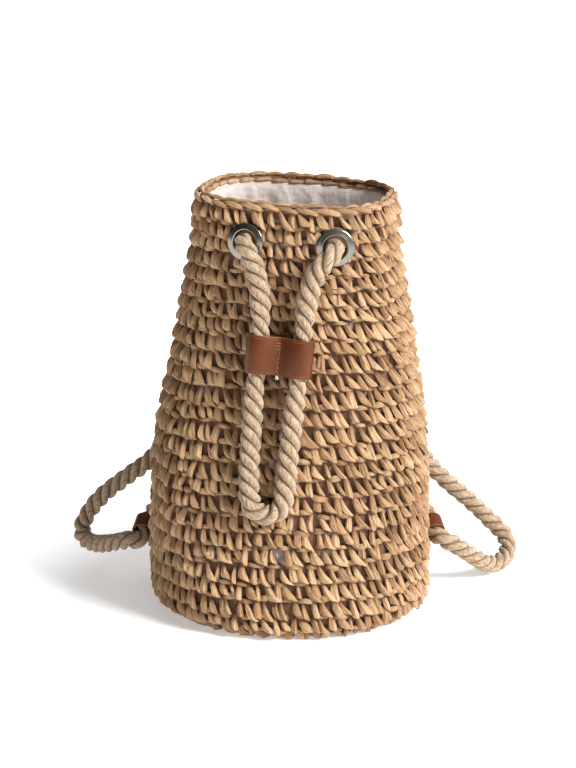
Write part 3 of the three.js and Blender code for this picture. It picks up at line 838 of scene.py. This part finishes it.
def crochet(name, rows, seed, tuck_share):
    """All stitches of several rows as one piece. Nothing of it goes below the floor."""
    rng = np.random.default_rng(seed)
    points, faces, strand, tone, tuck, first = [], [[], []], [], [], [], 0
    for upper, lower in rows:
        for rings, local, own_tone, own_tuck in stitch_row(upper, lower, tuck_share, rng):
            row_points, (quads, fans) = many_strands(make_room(rings))
            faces[0].append(quads + first)
            faces[1].append(fans + first)
            first += len(row_points)
            points.append(row_points)
            apart = rng.uniform(-1, 1, (len(rings), 1, 1, 3)) * [1, 1, 5]
            strand.append(with_middles(local + apart).reshape(-1, 3))
            per_strand = rings.shape[1] * rings.shape[2] + 2
            tone.append(np.repeat(own_tone, per_strand))
            ring_tuck = np.broadcast_to(own_tuck[None, :, None, None], (*rings.shape[:3], 1))
            tuck.append(with_middles(ring_tuck).reshape(-1))
    everything = np.concatenate(points)
    everything[:, 2] = np.maximum(everything[:, 2], 0.1 * MM)
    piece = make_piece(name, everything, [np.concatenate(f) for f in faces], straw,
                       {"strand": np.concatenate(strand), "tone": np.concatenate(tone),
                        "tuck": np.concatenate(tuck)}, crisp=CRISP)
    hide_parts("straw_body")


rows = list(zip(edges[:-1], edges[1:]))
crochet("crochet_upper", rows[:9], 3, 0.84)
crochet("crochet_middle", rows[9:17], 5, 0.95)
crochet("crochet_lower", rows[17:25], 7, 0.9)
crochet("crochet_base", rows[25:], 9, 0.9)

# %% [markdown]
# ## Backing
# Real crochet is two strands deep, so through a gap one sees more straw in shade and here and
# there the lining. A closed shell just behind the stitches stands for that inner layer.

# %% Backing shell
BACKING_DEPTH = 5.7 * MM
BACKING_TOP = BODY_HEIGHT + 2.3 * MM


def shell_points(depth, around=120):
    """A layer of the bag at one depth, from inside the rim down to the middle of its base."""
    down = layer_places(BACKING_TOP, 60, 10, 0.98)
    d, a = np.meshgrid(down, full_turn(around), indexing="ij")
    return skin(d, a) - outward(d, a) * depth


outer_shell, inner_shell = shell_points(BACKING_DEPTH), shell_points(WALL - 0.2 * MM)
shell = np.concatenate([outer_shell[::-1], inner_shell])[None]
backing_points, backing_faces = many_strands(make_room(shell[:, :, ::-1]))
backing = make_piece("straw_backing", backing_points, backing_faces, shaded_straw)
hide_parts("straw_body")

# %% [markdown]
# ## The plaited rim
# The last round of crochet ends in a chain along the edge of the mouth. Seen from above, each
# link is a V lying on its side: one leaf of straw swings to the outside and one to the inside,
# and both dive into the next link. Thick leaves that overlap give the plaited look. A third,
# lower leaf on the inside covers the place where the lining is sewn in.

# %% Rim
RIM_LINKS = 32
RIM_HIGH = 1.3 * MM
RIM_INWARDS = 4.6 * MM
LEAF_STATIONS = 12
LEAF_SIDES = 10
# For each leaf: how far out it swings, how much it arches, how it rises along the link, its half
# thickness and its lift, all in millimetres, and its start as a share of a link.
RIM_STRANDS = ((2.5, 1.5, -2.0, 2.2, -0.5, 0.0), (-2.0, 2.1, 1.6, 1.8, 0.9, 0.5),
               (-2.5, 0.5, 0.2, 1.95, -2.5, 0.15))


def rim_leaves(rng):
    """Leaves along the mouth's edge. A leaf's middle line swings out by sin(pi v) and its width
    and thickness swell the same way, so that its ends are hidden in its neighbours."""
    angles, run = round_table(BODY_HEIGHT)
    pitch = run[-1] / RIM_LINKS
    v = np.linspace(0, 1, LEAF_STATIONS)
    swell = np.interp(v, [0, 0.12, 0.45, 0.7, 0.9, 1.0], [0.25, 0.5, 0.9, 1.0, 0.88, 0.4])
    turn = full_turn(LEAF_SIDES)
    outswing = np.interp(v, [0, 0.5, 0.9, 1], [0.15, 0.8, 1.1, 0.95])
    # Painted shade: the leaf ends, hidden in their neighbours, get the dark STRAW_TUCKED colour.
    hidden = np.interp(v, [0, 0.3, 0.9, 1], [1.0, 0.2, 0.0, 0.9])[None, :, None, None]
    rings, local, tones, tucks = [], [], [], []
    for swing, arc, slope, thick, lift, phase in RIM_STRANDS:
        start = (np.arange(RIM_LINKS) + phase) * pitch + rng.normal(0, 0.6, RIM_LINKS) * MM
        length = pitch * rng.uniform(1.4, 1.65, RIM_LINKS)
        along = start[:, None] + length[:, None] * v
        out = swing * MM * outswing * rng.uniform(0.85, 1.15, (RIM_LINKS, 1))
        high = (RIM_HIGH + (lift + arc * np.sin(math.pi * v) + slope * (v - 0.5))[None] * MM
                + rng.normal(0, 0.3, (RIM_LINKS, 1)) * MM)
        half_w = 0.9 * thick * MM * swell[None] * rng.uniform(0.85, 1.12, (RIM_LINKS, 1))
        half_h = thick * MM * swell[None] * rng.uniform(0.85, 1.12, (RIM_LINKS, 1))
        fold = 1 + rng.uniform(-0.2, 0.1, (RIM_LINKS, 1, LEAF_SIDES))
        w = half_w[..., None] * np.cos(turn) * fold
        h = half_h[..., None] * np.sin(turn) * fold
        angle = np.interp(along % run[-1], run, angles)
        base = skin(np.full_like(angle, BODY_HEIGHT), angle)
        normal = outward(np.full_like(angle, BODY_HEIGHT - 1 * MM), angle)
        normal[..., 2] = 0
        shift = (out - RIM_INWARDS)[..., None] + w
        points = base[:, :, None] + unit(normal)[:, :, None] * shift[..., None]
        rings.append(points + np.stack([0 * h, 0 * h, high[..., None] + h], -1))
        run_on = np.broadcast_to((along - start[:, None])[..., None], w.shape)
        local.append(np.stack([w, h, run_on], -1) + rng.uniform(-1, 1, (RIM_LINKS, 1, 1, 3)))
        tones.append(rng.uniform(0.1, 0.9, RIM_LINKS))
        tucks.append(np.broadcast_to(hidden, (*w.shape, 1)))
    return [np.concatenate(kept) for kept in (rings, local, tones, tucks)]


rim_rings, rim_local, rim_tone, rim_tuck = rim_leaves(np.random.default_rng(21))
rim_points, rim_faces = many_strands(rim_rings[:, :, ::-1])
rim = make_piece("plaited_rim", rim_points, rim_faces, straw,
                 {"strand": with_middles(rim_local[:, :, ::-1]).reshape(-1, 3),
                  "tone": np.repeat(rim_tone, LEAF_STATIONS * LEAF_SIDES + 2),
                  "tuck": with_middles(rim_tuck).reshape(-1)}, crisp=CRISP)
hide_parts("rim_braid")

# %% [markdown]
# ## The lining
# A loose cotton bag hangs inside, sewn in just under the rim. Cloth that is a little too wide
# falls into soft upright folds, so the surface is the bag's inside moved inwards by a few waves
# that fade out at the eyelets, which hold it flat. A fold over its edge makes a flat hem, and its
# top hides behind the rim's lowest leaf. It gets its thickness from a Solidify modifier.

# %% Lining
LINING_DEPTH = 8.2 * MM
LINING_TOP = BODY_HEIGHT - 1.4 * MM
LINING_AROUND = 300
CLOTH_ROUND = 0.55
CLOTH_THICK = 0.8 * MM
# Each fold: its angle and its spread in degrees, its height in millimetres and how it leans.
FOLDS = np.array([[71, 4, 2.6, -2.5], [90, 5, 1.8, 0.8], [114, 6, 2.2, -1.2], [141, 4, 3.2, -3.2],
                  [178, 6, 2.6, 0.7], [215, 5, 3.4, -0.6], [262, 6, 3.0, 0.8], [300, 5, 3.6, -0.7],
                  [338, 6, 3.0, 0.6], [20, 5, 2.8, 0.5]])
HEM = 2.4 * MM


def lining_grid():
    """The inside of the wall, folded. Each fold is a bell-shaped ridge, exp(-(angle off it /
    its width)^2), that leans a little on its way down, and small waves lie between them."""
    down = layer_places(LINING_TOP, 90, 12, 0.97)
    d, a = np.meshgrid(down, full_turn(LINING_AROUND), indexing="ij")
    below = LINING_TOP - d
    rng = np.random.default_rng(31)
    waves = sum(0.34 * np.sin(rng.integers(6, 26) * a + rng.uniform(-240, 240) * d
                              + rng.uniform(0, TAU)) for _ in range(10))
    for middle, spread, tall, lean in FOLDS:
        off = np.degrees(a) - middle - lean * below / (6 * MM)
        off = (off + 180) % 360 - 180
        waves = waves + tall * np.exp(-(off / (spread * (1 + below * 8))) ** 2)
    sewn = np.clip(1 - below / (4 * MM), 0, 1) ** 2 * 1.6 * MM
    points = skin(d, a) - outward(d, a) * (LINING_DEPTH - sewn)[..., None]
    calm = np.ones_like(d)
    for middle, _ in EYELET_SEATS.values():
        apart = np.linalg.norm(points - np.array(middle) * MM, axis=-1)
        calm = np.minimum(calm, np.clip((apart - 17 * MM) / (16 * MM), 0, 1))
    top = np.clip((below - 1 * MM) / (9 * MM), 0, 1) ** 0.8
    wall = np.clip((d - 8 * MM) / (40 * MM), 0, 1)
    folds = (waves + 0.5) * MM * calm * top * wall
    hem = 0.5 * MM * (np.abs(below - HEM / 2) < HEM / 2)
    return points - outward(d, a) * (folds + hem)[..., None], d


lining_points, lining_down = lining_grid()
rows_down, columns = lining_points.shape[:2]
flat_points = lining_points.reshape(-1, 3)
wall_faces = grid_faces(rows_down, columns)
bottom = (rows_down - 1) * columns + np.arange(columns)
bottom_middle = len(flat_points)
fan = np.stack([bottom, np.roll(bottom, -1), np.full(columns, bottom_middle)], -1)
flat_points = np.concatenate([flat_points, flat_points[bottom].mean(0, keepdims=True)])
lining = make_piece("cotton_lining", flat_points, [wall_faces, fan], lining_cotton)
column = np.tile(np.arange(columns), rows_down - 1)[:, None]
across = np.concatenate([(column + [0, 1, 1, 0]).ravel(),
                         (np.arange(columns)[:, None] + [0, 1, 0.5]).ravel()]) / columns
corner = np.concatenate([wall_faces.ravel(), fan.ravel()])
place_down = np.append(lining_down, lining_down.min())[corner]
cloth = lining.data.uv_layers.new(name="cloth")
cloth.data.foreach_set("uv", np.stack([across * CLOTH_ROUND, place_down], -1)
                       .astype(np.float32).ravel())
solid = lining.modifiers.new("cloth_thickness", "SOLIDIFY")
solid.thickness = CLOTH_THICK
solid.offset = 0
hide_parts("lining")

# %% [markdown]
# ## Eyelets
# A metal eyelet is a rolled ring: a nearly flat flange outside with a rolled lip round its hole,
# a barrel through the wall and a flat flange inside. Its half section is turned round its axis.

# %% Eyelets
EYELET_TURNS = 72
EYELET_SECTION = np.array([
    [7.75, -13.0], [11.25, -13.0], [11.25, -12.2], [8.6, -12.0], [8.5, 0.3], [13.3, 0.42],
    [13.5, 0.75], [13.42, 1.2], [13.1, 1.5], [12.4, 1.75], [11.4, 2.0], [10.5, 2.15],
    [9.9, 2.45], [9.3, 2.6], [8.7, 2.45], [8.1, 1.9], [7.85, 1.1], [7.75, 0.0],
]) * MM


def eyelet(name, middle, axis):
    """The section turned: a point at radius r and height h is middle + h axis + r (cos, sin)."""
    axis = unit(np.array(axis))
    side = unit(np.cross(axis, [0, 0, 1]))
    other = np.cross(axis, side)
    turn = full_turn(EYELET_TURNS)
    spoke = np.cos(turn)[:, None] * side + np.sin(turn)[:, None] * other
    r, h = EYELET_SECTION[:, 0], EYELET_SECTION[:, 1]
    points = np.array(middle) * MM + h[:, None, None] * axis + r[:, None, None] * spoke
    faces = ring_faces(len(EYELET_SECTION), EYELET_TURNS)[:, ::-1]
    piece = make_piece(name + "_ring", points.reshape(-1, 3), [faces], dark_nickel,
                       crisp=CRISP_HARD)
    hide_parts(name)


for name, (middle, axis) in EYELET_SEATS.items():
    eyelet(name, middle, axis)

# %% [markdown]
# ## Leather
# The slider is one strip of leather wrapped round both runs of rope and sewn down between them.
# Each side tab is a strip folded round the rope, its two layers sewn together. Both are the same
# kind of surface: a rounded rectangle, the strip's section, carried along the strip's path.

# %% Leather strips
EDGE_WEAR = 0.75


def strip_section(half_thick, half_width, rounding=0.55 * MM, steps=3):
    """A rectangle with rounded corners, as (out, along) pairs, and how near each is to an edge."""
    quarter = np.linspace(0, math.pi / 2, steps + 1)
    out, along = [], []
    for k, (right, up) in enumerate(((1, 1), (-1, 1), (-1, -1), (1, -1))):
        angle = quarter + k * math.pi / 2
        out.extend(right * (half_thick - rounding) + rounding * np.cos(angle))
        along.extend(up * (half_width - rounding) + rounding * np.sin(angle))
    out, along = np.array(out), np.array(along)
    edge = (np.abs(along) > half_width - 0.6 * rounding).astype(float)
    return out, along, edge


def facing_out(points, faces):
    """The faces, turned round if the volume they close, a sum of a . (b x c) / 6 over triangles
    fanned from each face's first corner, comes out below zero."""
    volume = 0
    for group in faces:
        corner = points[group]
        for k in range(1, group.shape[1] - 1):
            volume += (corner[:, 0] * np.cross(corner[:, k], corner[:, k + 1])).sum() / 6
    return faces if volume > 0 else [group[:, ::-1] for group in faces]


def leather_strip(name, path, frame_axes, half_thick, half_width, closed, node):
    """Carries the strip's section along a flat path given as (x, y) in the piece's own frame."""
    origin, x_axis, y_axis, z_axis = (np.array(a, float) for a in frame_axes)
    if closed:
        slope = np.roll(path, -1, 0) - np.roll(path, 1, 0)
    else:
        slope = np.gradient(path, axis=0)
    slope = unit(slope)
    normal = np.stack([slope[:, 1], -slope[:, 0]], -1)
    out, along, edge = strip_section(half_thick, half_width)
    flat = path[:, None] + normal[:, None] * out[None, :, None]
    points = (origin + flat[..., :1] * x_axis + flat[..., 1:] * y_axis
              + along[None, :, None] * z_axis)
    wear = np.broadcast_to(edge * EDGE_WEAR, flat.shape[:2])
    if closed:
        vertices, shapes = points.reshape(-1, 3), [ring_faces(len(path), len(out))]
        tuck = wear.reshape(-1)
    else:
        vertices, shapes = many_strands(points[None])
        tuck = with_middles(wear[None, ..., None]).reshape(-1)
    piece = make_piece(name, vertices, facing_out(vertices, shapes), tan_leather, {"tuck": tuck},
                       crisp=CRISP_HARD)
    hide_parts(node)


def stitches(name, places, directions, lifts, length, thick, material=None):
    """Short threads lying on leather: each a small spindle along its direction."""
    v = np.linspace(-1, 1, 6)
    turn = full_turn(6)
    along, up = unit(directions), unit(lifts)
    side = np.cross(along, up)
    fat = thick * np.sqrt(np.clip(1 - v**4, 0.05, 1))
    sink = -thick * 0.9 * v**4
    middle = (places[:, None] + along[:, None] * (v * length)[None, :, None]
              + up[:, None] * sink[None, :, None])
    rings = (middle[:, :, None] + fat[None, :, None, None]
             * (np.cos(turn)[None, None, :, None] * side[:, None, None]
                + np.sin(turn)[None, None, :, None] * up[:, None, None]))
    points, faces = many_strands(rings)
    piece = make_piece(name, points, faces, material or brown_thread)


# %% Slider
SLIDER_MIDDLE = np.array([-7.18, -75.85, 207.34]) * MM
SLIDER_RIGHT = np.array([0.98, -0.19, -0.08])
SLIDER_UP = unit(np.array([0.103, 0.117, 0.988]))
SLIDER_RIGHT = unit(SLIDER_RIGHT - SLIDER_UP * (SLIDER_RIGHT @ SLIDER_UP))
SLIDER_FRONT = np.cross(SLIDER_RIGHT, SLIDER_UP)
SLIDER_HALF_PITCH = 15.3 * MM
SLIDER_ROUND = 8.15 * MM
SLIDER_PINCH = 1.15 * MM
SLIDER_HALF_THICK = 0.95 * MM
SLIDER_HALF_HEIGHT = 13.7 * MM
SLIDER_STITCH_LINE = 11.9 * MM
BAND_POWER = 1.6


def band_height(x):
    """Half the band's height at a way x from its seam: pinch + (round - pinch) times a power of
    sin(quarter turn times x / half pitch), which rises from the seam to each tunnel."""
    rise = np.sin(math.pi / 2 * np.minimum(np.abs(x) / SLIDER_HALF_PITCH, 1)) ** BAND_POWER
    return SLIDER_PINCH + (SLIDER_ROUND - SLIDER_PINCH) * rise


def slider_path(steps=30, arc=26):
    """The band's half height from the seam to one tunnel, half a circle round the rope, the way
    back on the other face, and all of that again, turned by half a turn."""
    x = np.linspace(0, SLIDER_HALF_PITCH, steps, endpoint=False)
    angle = np.linspace(math.pi / 2, -math.pi / 2, arc)
    cap = SLIDER_ROUND * np.stack([np.cos(angle), np.sin(angle)], -1) + [SLIDER_HALF_PITCH, 0]
    top = np.stack([x, band_height(x)], -1)
    right = np.concatenate([top, cap, (top * [1, -1])[:0:-1]])
    return np.concatenate([right, -right])


leather_strip("leather_slider", slider_path()[::-1],
              (SLIDER_MIDDLE, SLIDER_RIGHT, SLIDER_FRONT, SLIDER_UP), SLIDER_HALF_THICK,
              SLIDER_HALF_HEIGHT, True, "slider")


def seam_stitches(name, heights, sideways, slant, length, thick):
    """Threads across or along the seam, each as far out as the band is at its sideways place."""
    count = len(heights)
    places = (SLIDER_MIDDLE + SLIDER_FRONT * (band_height(sideways) + 1.1 * MM)
              + np.array(heights)[:, None] * MM * SLIDER_UP + sideways * SLIDER_RIGHT)
    stitches(name, places, np.tile(slant * SLIDER_RIGHT + SLIDER_UP, (count, 1)),
             np.tile(SLIDER_FRONT, (count, 1)), length, thick)


seam_stitches("slider_seam_top", [9.4, 7.3, 5.2], -1.5 * MM, -6.0, 2.6 * MM, 0.6 * MM)
seam_stitches("slider_seam_middle", [2.4, -1.2], 0, 0.1, 1.7 * MM, 0.35 * MM)
seam_stitches("slider_seam_bottom", [-4.6, -7.7, -10.8], -0.4 * MM, -0.6, 1.7 * MM, 0.5 * MM)


def edge_stitches(name, height):
    """Small stitches along the band's front, one edge of it: they follow its bulges."""
    x = np.concatenate([np.linspace(-20, -3, 9), np.linspace(3, 20, 9)]) * MM
    past = np.maximum(np.abs(x) - SLIDER_HALF_PITCH, 0)
    y = np.where(past > 0, np.sqrt(SLIDER_ROUND**2 - past**2), band_height(x))
    slope = np.gradient(y, x)[:, None]
    places = (SLIDER_MIDDLE + x[:, None] * SLIDER_RIGHT + height * SLIDER_UP
              + (y[:, None] + SLIDER_HALF_THICK) * SLIDER_FRONT)
    stitches(name, places, SLIDER_RIGHT + slope * SLIDER_FRONT,
             SLIDER_FRONT - slope * SLIDER_RIGHT, 0.8 * MM, 0.26 * MM)


edge_stitches("slider_top_stitches", SLIDER_STITCH_LINE)
edge_stitches("slider_bottom_stitches", -SLIDER_STITCH_LINE)
tuft_end = SLIDER_MIDDLE + SLIDER_FRONT * 1.2 * MM - SLIDER_UP * 15 * MM
stitches("thread_end", tuft_end[None] + np.outer([-0.5, 0.5], SLIDER_RIGHT) * MM,
         np.array([-SLIDER_UP - 0.1 * SLIDER_RIGHT, -SLIDER_UP + 0.25 * SLIDER_RIGHT]),
         np.tile(SLIDER_FRONT, (2, 1)), 2.0 * MM, 0.75 * MM, ivory_thread)

# %% Side tabs
TAB_HALF_WIDTH = 6.5 * MM
TAB_RING = 8.25 * MM
TAB_MIDDLE = 9.35 * MM
TAB_HALF_THICK = 1.02 * MM
TAB_PLACE = 45 * MM
TAB_TILT = math.radians(60)
TAB_STEP = 0.9 * MM
TAB_SEAMS = (16.5 * MM, 21.5 * MM)
TAB_SEAM_HEIGHT = 4.3 * MM


def tab_path():
    """Along the lower layer to the rope, round it, and back along the upper layer, in even steps
    and slightly smoothed."""
    lower = np.stack([np.linspace(24, 1, 12), np.full(12, 1.1)], -1) * MM
    angle = np.radians(np.linspace(270, 30, 34))
    ring = np.stack([TAB_RING * np.cos(angle), TAB_MIDDLE + TAB_RING * np.sin(angle)], -1)
    upper = np.stack([np.linspace(14.5, 24, 8), np.full(8, 3.3)], -1) * MM
    bend = np.array([[9.2, 9.6], [10.6, 6.2], [12.2, 4.2]]) * MM
    path = np.concatenate([lower, ring, bend, upper])
    even, _ = evenly(path, int(length_run(path)[-1] / TAB_STEP))
    even[1:-1] = (even[:-2] + 2 * even[1:-1] + even[2:]) / 4
    return even


def tab_frame(degrees, backward):
    """The tab's place on the wall and its axes: tail, out of the wall, and along the rope."""
    angle = math.radians(degrees)
    out = outward(TAB_PLACE, angle)
    around = unit(skin(TAB_PLACE, angle + 0.001) - skin(TAB_PLACE, angle - 0.001))
    tail = around * backward * math.cos(TAB_TILT) - np.cross(out, around) * math.sin(TAB_TILT)
    return skin(TAB_PLACE, angle), tail, out, np.cross(tail, out)


for node, degrees, backward in (("tab_left", 163.5, -1), ("tab_right", 16.5, 1)):
    axes = tab_frame(degrees, backward)
    leather_strip(node + "_strip", tab_path(), axes, TAB_HALF_THICK, TAB_HALF_WIDTH, False, node)
    place, tail, out, along = axes
    across = np.linspace(-4.9, 4.9, 5)[:, None] * MM
    for row, far in enumerate(TAB_SEAMS):
        spots = place + tail * far + out * TAB_SEAM_HEIGHT + across * along
        stitches(f"{node}_seam_{row + 1}", spots, np.tile(along, (5, 1)), np.tile(out, (5, 1)),
                 0.85 * MM, 0.32 * MM)


# %% [markdown]
# ## Floor and light
# The photograph is a plain white table-top picture. A low sun, 22 degrees wide, stands for one
# large soft light at the front right. The surround is bright at the right, darker at the left and
# in front, and fills the shade. The floor glows a little, and more so away from the bag, so that
# the bag's shadow fades out after a short way, as it does in the photograph.

# %% Floor and light
FLOOR_HALF = 30
GLOW_NEAR, GLOW_FAR = 0.37, 0.75
GLOW_FROM, GLOW_FULLY = 0.165, 0.24

floor_material, add, feed = new_finish("white_floor", 0.9, Base_Color=(0.93, 0.93, 0.93, 1),
                                       Emission_Color=(1, 1, 1, 1))
from_bag = add("VectorMath", {0: object_place(add)}, operation="LENGTH").outputs["Value"]
feed("Emission Strength", between(add, from_bag, GLOW_NEAR, GLOW_FAR, GLOW_FROM, GLOW_FULLY))
floor_mesh = bpy.data.meshes.new("floor")
floor_mesh.from_pydata([(x * FLOOR_HALF, y * FLOOR_HALF, 0) for x, y in
                        ((-1, -1), (1, -1), (1, 1), (-1, 1))], [], [(0, 1, 2, 3)])
floor_mesh.materials.append(floor_material)
floor = bpy.data.objects.new("floor", floor_mesh)
bpy.context.scene.collection.objects.link(floor)

world = bpy.data.worlds.new("white_surround")
world.use_nodes = True
sky = world.node_tree
add = node_adder(sky)
background = next(n for n in sky.nodes if n.type == "BACKGROUND")
background.inputs["Color"].default_value = (1, 1, 1, 1)
apart = add("SeparateXYZ", {"Vector": add("TexCoord").outputs["Generated"]}).outputs
side_light = between(add, apart["X"], 0.03, 0.84, -1, interpolation_type="SMOOTHSTEP")
front_shade = between(add, apart["Y"], 0.45, 1, -1, 0.3)
sky.links.new(maths(add, "MULTIPLY", side_light, front_shade), background.inputs["Strength"])
bpy.context.scene.world = world

SUN_STRENGTH = 4.7
SUN_WIDTH = math.radians(22)
SUN_HEADING = Vector((-0.75, 0.50, -0.66))

window_light = bpy.data.lights.new("window_light", "SUN")
window_light.energy = SUN_STRENGTH
window_light.angle = SUN_WIDTH
window = bpy.data.objects.new("window_light", window_light)
window.rotation_euler = SUN_HEADING.to_track_quat("-Z", "Y").to_euler()
bpy.context.scene.collection.objects.link(window)
bpy.context.scene.view_settings.view_transform = "Standard"
